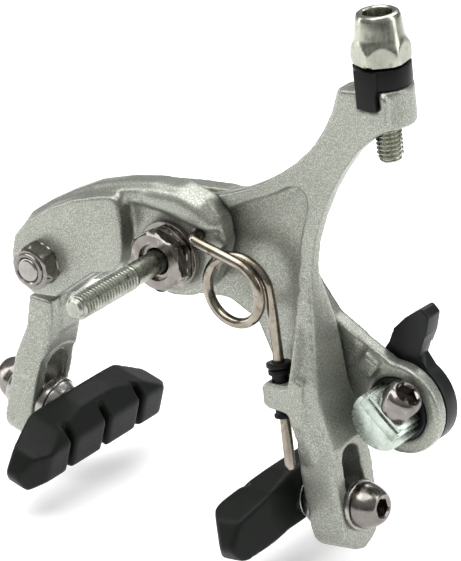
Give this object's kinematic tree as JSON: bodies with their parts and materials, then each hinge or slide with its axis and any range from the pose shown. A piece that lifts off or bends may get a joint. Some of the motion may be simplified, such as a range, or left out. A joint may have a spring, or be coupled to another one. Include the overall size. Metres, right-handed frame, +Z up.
{
  "type": "bicycle rim brake caliper",
  "caption": "Silver dual-pivot side-pull rim brake caliper with curved arms, barrel adjuster, quick-release lever, coiled return spring and black pads.",
  "frame": {"origin": "on the axis of the mounting bolt, at the seat of the mounting nut", "axes": "+Z up, +Y forward along the mounting bolt away from the frame, +X towards the adjuster side"},
  "size_m": [0.1246, 0.0707, 0.135],
  "materials": {
    "cast_silver": "satin silver metallic paint",
    "bolt_zinc": "zinc plated",
    "nickel_steel": "smoky nickel plating",
    "stainless": "plain steel",
    "spring_wire": "drawn steel wire",
    "bronze": "sintered bronze",
    "black_plastic": "moulded",
    "bright_aluminium": "polished",
    "zinc_plate": "zinc plated, slightly green",
    "lever_black": "satin black",
    "pad_rubber": "moulded rubber"
  },
  "bodies": {
    "bracket": {"pivot_bracket": "cast_silver", "mounting_bolt": "bolt_zinc", "mounting_nut": "nickel_steel", "lock_nut": "nickel_steel", "seat_washer": "nickel_steel", "rear_washer": "stainless", "front_washer": "stainless", "front_nut": "nickel_steel", "side_pivot_bolt": "stainless", "side_pivot_nut": "nickel_steel", "side_washer": "stainless", "return_spring": "spring_wire"},
    "y_arm": {"y_arm": "cast_silver", "y_arm_bush": "bronze", "contact_pad": "black_plastic", "spring_guide": "black_plastic"},
    "c_arm": {"c_arm": "cast_silver", "c_arm_bush": "bronze", "centring_screw": "stainless"},
    "adjuster_sleeve": {"adjuster_sleeve": "black_plastic"},
    "barrel": {"barrel_adjuster": "bright_aluminium"},
    "quick_release": {"quick_release_shaft": "zinc_plate", "quick_release_lever": "lever_black", "clamp_plate": "zinc_plate", "clamp_washer": "zinc_plate", "clamp_bolt": "nickel_steel"},
    "right_shoe": {"right_inner_washer": "stainless", "right_dished_washer": "stainless", "right_outer_washer": "stainless", "right_shoe_bolt": "nickel_steel", "right_stud": "zinc_plate"},
    "right_pad": {"right_pad": "pad_rubber"},
    "left_shoe": {"left_inner_washer": "stainless", "left_dished_washer": "stainless", "left_outer_washer": "stainless", "left_shoe_bolt": "nickel_steel", "left_stud": "zinc_plate"},
    "left_pad": {"left_pad": "pad_rubber"}
  },
  "joints": [
    {"name": "y_arm_pivot", "type": "hinge", "parent": "bracket", "child": "y_arm", "pos_m": [0, 0.015, 0], "axis": [0, 1, 0], "range_deg": [0, 9], "stiffness_Nm_per_rad": 3, "springref_deg": -28.65, "deforming": ["return_spring"]},
    {"name": "c_arm_pivot", "type": "hinge", "parent": "bracket", "child": "c_arm", "pos_m": [-0.035, 0.017, -0.01], "axis": [0, 1, 0], "range_deg": [-11.25, 0]},
    {"name": "quick_release", "type": "hinge", "parent": "c_arm", "child": "quick_release", "pos_m": [0.0537, 0.021, -0.0298], "axis": [0, 1, 0], "range_deg": [0, 65]},
    {"name": "adjuster_lift", "type": "slide", "parent": "y_arm", "child": "adjuster_sleeve", "axis": [-0.0941, 0, 0.9956], "range_m": [0, 0.005]},
    {"name": "adjuster_turn", "type": "hinge", "parent": "adjuster_sleeve", "child": "barrel", "pos_m": [0.0531, 0.0155, 0.0568], "axis": [-0.0941, 0, 0.9956], "range_deg": [0, 1800]},
    {"name": "right_shoe_height", "type": "slide", "parent": "y_arm", "child": "right_shoe", "axis": [-0.1564, 0, 0.9877], "range_m": [0, 0.009]},
    {"name": "right_shoe_tilt", "type": "hinge", "parent": "right_shoe", "child": "right_pad", "pos_m": [0.03341, 0.0135, -0.05601], "axis": [0.9877, 0, 0.1564], "range_deg": [-15, 15]},
    {"name": "left_shoe_height", "type": "slide", "parent": "c_arm", "child": "left_shoe", "axis": [0.2419, 0, 0.9703], "range_m": [0, 0.009]},
    {"name": "left_shoe_tilt", "type": "hinge", "parent": "left_shoe", "child": "left_pad", "pos_m": [-0.03996, 0.0135, -0.05463], "axis": [-0.9703, 0, 0.2419], "range_deg": [-15, 15]}
  ],
  "couplings": [
    {"joint": "c_arm_pivot", "follows": "y_arm_pivot", "ratio": -1.25},
    {"joint": "adjuster_lift", "follows": "adjuster_turn", "m_per_rad": 0.00015915}
  ]
}
